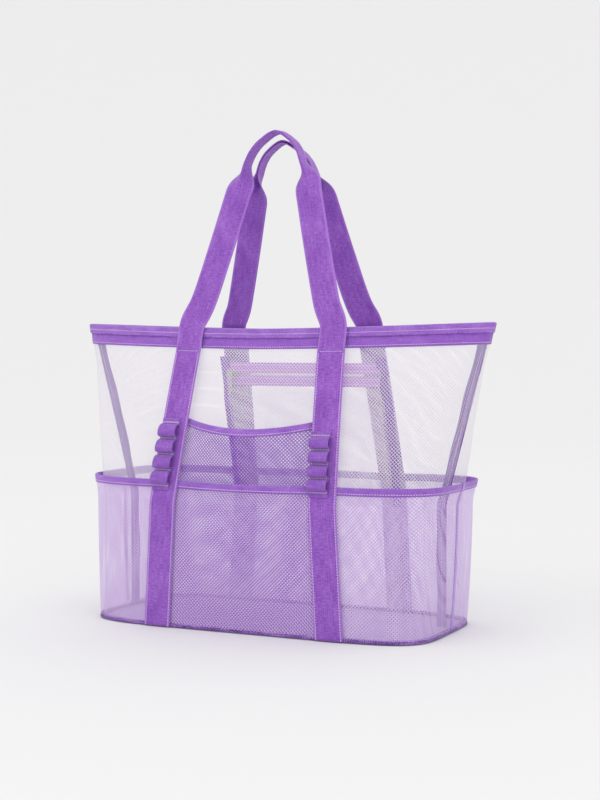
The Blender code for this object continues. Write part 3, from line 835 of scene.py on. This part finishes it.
def stitch_on_strap(label, turn, spots):
    """A row of stitches on the front or back straps, through spots given as (f, h)."""
    line = np.array([point(f, h, STRAP_OFF + WEB_T / 2 + 0.0001) for f, h in spots])
    out = np.array([outward(f, h) for f, h in spots])
    strap_stitches[label].run(line * (1, turn, 1), out * (1, turn, 1))


for label, drop, turn in (("front", 0.0, 1), ("back", BACK_GRIP_DROP, -1)):
    grip = handle_stations(drop)
    rising = np.linspace(0.0012, BAND_LOW - 0.002, 84)
    right = strap_stations(1, rising)
    left = strap_stations(-1, rising[::-1])
    stations = list(right)
    for section in list(grip) + list(left):
        stations.append(match(stations[-1], section))
    grid = np.array(stations) * (1, turn, 1)
    joined = skin(label + "_webbing", grid, WEBBING, across=PROFILE[:, 0], body=None,
                  slot=label + "_handle", replaces=(
                      label + "_handle", label + "_strap_left", label + "_strap_right"))
    if turn < 0:
        joined.data.flip_normals()
    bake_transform(joined)
    for sign in (-1, 1):
        for edge in (-1, 1):
            stitch_on_strap(label, turn, [
                (sign * strap_f(h) + edge * span_f(h, WEB_W - 2 * STITCH_INSET), h)
                for h in rising[:-1]])
        level = BAND_LOW - 0.0042
        stitch_on_strap(label, turn, [
            (sign * strap_f(level) + k * span_f(level, WEB_W - 3 * STITCH_INSET), level)
            for k in np.linspace(-1, 1, 9)])
for label, group in strap_stitches.items():
    group.make(label + "_strap_stitches", slot=label + "_strap_left")


# --- loop tapes -----------------------------------------------------------------------------------
def loop_f(sign, h, k):
    """A place at the fraction k from the middle of a loop tape, which lies on the strap's left."""
    return sign * strap_f(h) - span_f(h, WEB_W - LOOP_W - 0.001) + k


loop_stitches = Stitches()
for label, sign in (("left", -1), ("right", 1)):
    pitch = LOOP_PITCH[label]
    path = [(LOOP_LOW - 0.006 + 0.001 * k, 0.0) for k in range(6)]
    bars = []
    for k in range(LOOPS):
        bars.append(LOOP_LOW + k * pitch)
        for t in np.linspace(0, 1, 19):
            angle = math.pi * t
            droop = -0.0008 * math.sin(angle) ** 2
            reach = (pitch / 2 - 0.0021) * (1 + 0.10 * math.sin(angle) ** 2)
            path.append((LOOP_LOW + (k + 0.5) * pitch - reach * math.cos(angle) + droop,
                         LOOP_OUT * math.sin(angle) ** 0.75))
    bars.append(LOOP_LOW + LOOPS * pitch)
    path += [(LOOP_LOW + LOOPS * pitch + 0.001 * k, 0.0) for k in range(1, 6)]
    loop = thick(path, 0.0011)
    grid = [[point(loop_f(sign, h, k * span_f(h, LOOP_W)), h, LOOP_OFF + rise)
             for h, rise in loop] for k in np.linspace(-1, 1, 13)]
    skin("clip_loops_" + label, grid, TAPE, slot="loop_tape_" + label,
         replaces=("loop_tape_" + label,))
    for h in bars:
        for rise in (-0.0004, 0.0005):
            fs = [loop_f(sign, h, k * span_f(h, LOOP_W - 0.002)) for k in np.linspace(-1, 1, 7)]
            line = [point(f, h + rise, LOOP_OFF + 0.0007) for f in fs]
            out = [outward(f, h) for f in fs]
            loop_stitches.run(line, out, pitch=0.0024, length=0.0023, width=0.0012, height=0.0008)
loop_stitches.make("loop_stitches", slot="loop_tape_left")


# --- inner zip pocket -----------------------------------------------------------------------------
zip_stitches = Stitches()
low_y = wall_y(ZIP_HALF, ZIP_POCKET_LOW) - ZIP_STANDOFF
panel_top = ZIP_Z - ZIP_GAP - ZIP_TAPE - GAP


def zip_panel(u, v, out):
    """The zip pocket's netting hangs from the zip and bows towards the inside of the bag."""
    t = (v - ZIP_POCKET_LOW) / (panel_top - ZIP_POCKET_LOW)
    bow = ZIP_BOW * np.cos(np.pi / 2 * np.clip(u / ZIP_HALF, -1, 1)) * np.sin(
        np.pi * np.clip(t, 0, 1))
    return np.stack([u, low_y + (ZIP_Y - low_y) * t - bow + out, np.full_like(u, v)], -1)


def zip_wave(x, z):
    """The zip tapes wave slightly, more at their outer edges."""
    return 0.0005 * math.sin(x * 60) * abs(z - ZIP_Z) / 0.016


netting("zip_pocket_netting", ZIP_POCKET_LOW, panel_top + 0.001, 2 * ZIP_HALF, zip_panel,
        lambda u, v: np.abs(u) < ZIP_HALF + 0.001, PANEL_NET, BACK_YARN,
        "zip_pocket_panel")

for label, sign in (("upper", 1), ("lower", -1)):
    z0 = ZIP_Z + sign * 0.0021
    z1 = ZIP_Z + sign * (ZIP_GAP + ZIP_TAPE)
    section = thick([(ZIP_Y + 0.0002 * math.sin(9 * t), z0 + (z1 - z0) * t) for t in
                     np.linspace(0, 1, 12)], 0.0007)
    grid = [[(x, y - zip_wave(x, z), z) for y, z in section]
            for x in np.linspace(-ZIP_HALF, ZIP_HALF, 60)]
    skin("zip_band_" + label, grid, ZIP_TAPE_MAT, slot="zip_tape_" + label,
         replaces=("zip_tape_" + label,))
    for z in (ZIP_Z + sign * 0.0050, ZIP_Z + sign * (ZIP_TAPE - 0.0005)):
        xs = np.linspace(-ZIP_HALF + 0.002, ZIP_HALF - 0.002, 60)
        line = [(x, ZIP_Y - 0.0006 - zip_wave(x, z), z) for x in xs]
        zip_stitches.run(line, [(0, -1, 0)] * len(xs), pitch=0.0030)
    points, faces = [], []
    tooth = 0.0015
    for k in range(int((2 * ZIP_HALF - 0.006) / tooth)):
        x = -ZIP_HALF + 0.003 + (k + (0.25 if sign > 0 else 0.75)) * tooth
        base = len(points)
        for j, along in enumerate(np.linspace(-1, 1, 5)):
            swell_r = (0.55, 1.0, 1.0, 1.0, 0.5)[j] * 0.00042
            z = ZIP_Z + sign * (0.0013 - along * 0.0013)
            for i in range(6):
                angle = math.pi / 3 * i
                points.append((x + swell_r * math.cos(angle), ZIP_Y - 0.0004 + 1.5 * swell_r
                               * math.sin(angle), z))
        for j in range(4):
            for i in range(6):
                m = (i + 1) % 6
                faces.append((base + j * 6 + i, base + j * 6 + m, base + j * 6 + 6 + m,
                              base + j * 6 + 6 + i))
        faces += [tuple(base + i for i in range(5, -1, -1)), tuple(base + 24 + i for i in range(6))]
    finish_piece("zip_teeth_" + label, points, faces, COIL, slot="zip_coil_" + label,
                 replaces=("zip_coil_" + label,))

for label, sign in (("left", -1), ("right", 1)):
    grid = []
    for h in np.linspace(ZIP_BIND_LOW, ZIP_BIND_TOP, 50):
        step = float(smooth((h - ZIP_BIND_STEP) / 0.03))
        x = ZIP_HALF + 0.0062 - 0.004 * step
        wide = 0.0056 + 0.001 * step
        row = []
        for s, n in strip(2 * wide, 0.0009, 9):
            f = 1 - f_at(x + s, h)
            deep = -0.0014 - 0.0024 * step * (1.0 if s < 0 else 0.4)
            row.append(point(sign * f, h, deep + n))
        grid.append(row)
    skin("zip_side_binding_" + label, grid, BINDING, slot="zip_binding_" + label,
         replaces=("zip_binding_" + label,))
zip_stitches.make("zip_stitches", slot="zip_tape_upper")

for name in ("zip_slider", "zip_pull", "zip_stop_left", "zip_stop_right"):
    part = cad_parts[name]
    part.data.materials.clear()
    part.data.materials.append(METAL)
    bevel = part.modifiers.new("Soft edges", "BEVEL")
    bevel.width = 0.00035
    bevel.segments = 3
    bevel.limit_method = "ANGLE"


# --- studio ---------------------------------------------------------------------------------------
def studio():
    """A pale floor like a wide shallow bowl, two big soft lights and an even sky."""
    floor_mat = new_material("studio_floor", srgb(232, 232, 232), 0.9, specular=0.0)
    bend, reach, around = 8.0, 3.5, 96
    profile = [(0.5, 0.0), (2.0, 0.0), (reach, 0.0)]
    profile += [(reach + bend * math.sin(a), bend - bend * math.cos(a)) for a in
                np.radians(np.linspace(2, 56, 24))]
    points = [(r * math.cos(2 * math.pi * k / around), r * math.sin(2 * math.pi * k / around),
               z - 0.0002) for r, z in profile for k in range(around)]
    faces = [tuple(range(around))]
    for i in range(len(profile) - 1):
        for k in range(around):
            m = (k + 1) % around
            faces.append((i * around + k, (i + 1) * around + k, (i + 1) * around + m,
                          i * around + m))
    mesh = bpy.data.meshes.new("studio_floor")
    mesh.from_pydata(points, [], faces)
    mesh.materials.append(floor_mat)
    mesh.polygons.foreach_set("use_smooth", [True] * len(mesh.polygons))
    floor = bpy.data.objects.new("studio_floor", mesh)
    bpy.context.scene.collection.objects.link(floor)
    world = bpy.data.worlds.new("studio")
    world.use_nodes = True
    world.node_tree.nodes["Background"].inputs[0].default_value = (1, 1, 1, 1)
    world.node_tree.nodes["Background"].inputs[1].default_value = WORLD
    bpy.context.scene.world = world
    lights = (("key", (-1.3, -2.2, 2.6), 2.2, KEY), ("fill", (2.2, -1.6, 1.4), 1.8, KEY * 0.35))
    for name, place, size, power in lights:
        data = bpy.data.lights.new(name, "AREA")
        data.size = size
        data.energy = power
        lamp = bpy.data.objects.new(name, data)
        lamp.location = place
        lamp.rotation_euler = (Vector((0, 0, 0.3)) - Vector(place)).to_track_quat(
            "-Z", "Y").to_euler()
        bpy.context.scene.collection.objects.link(lamp)


def camera():
    """The camera, to the front right of the bag and slightly above its middle."""
    az, el = math.radians(CAMERA_AZ), math.radians(CAMERA_EL)
    away = Vector((math.sin(az) * math.cos(el), -math.cos(az) * math.cos(el), math.sin(el)))
    data = bpy.data.cameras.new("camera")
    data.lens = LENS
    made = bpy.data.objects.new("camera", data)
    made.location = Vector((CAMERA_SIDE * math.cos(az), CAMERA_SIDE * math.sin(az),
                            CAMERA_HEIGHT)) + away * CAMERA_DISTANCE
    made.rotation_euler = away.to_track_quat("Z", "Y").to_euler()
    bpy.context.scene.collection.objects.link(made)
    bpy.context.scene.camera = made


studio()
camera()
bpy.context.scene.view_settings.view_transform = "Standard"
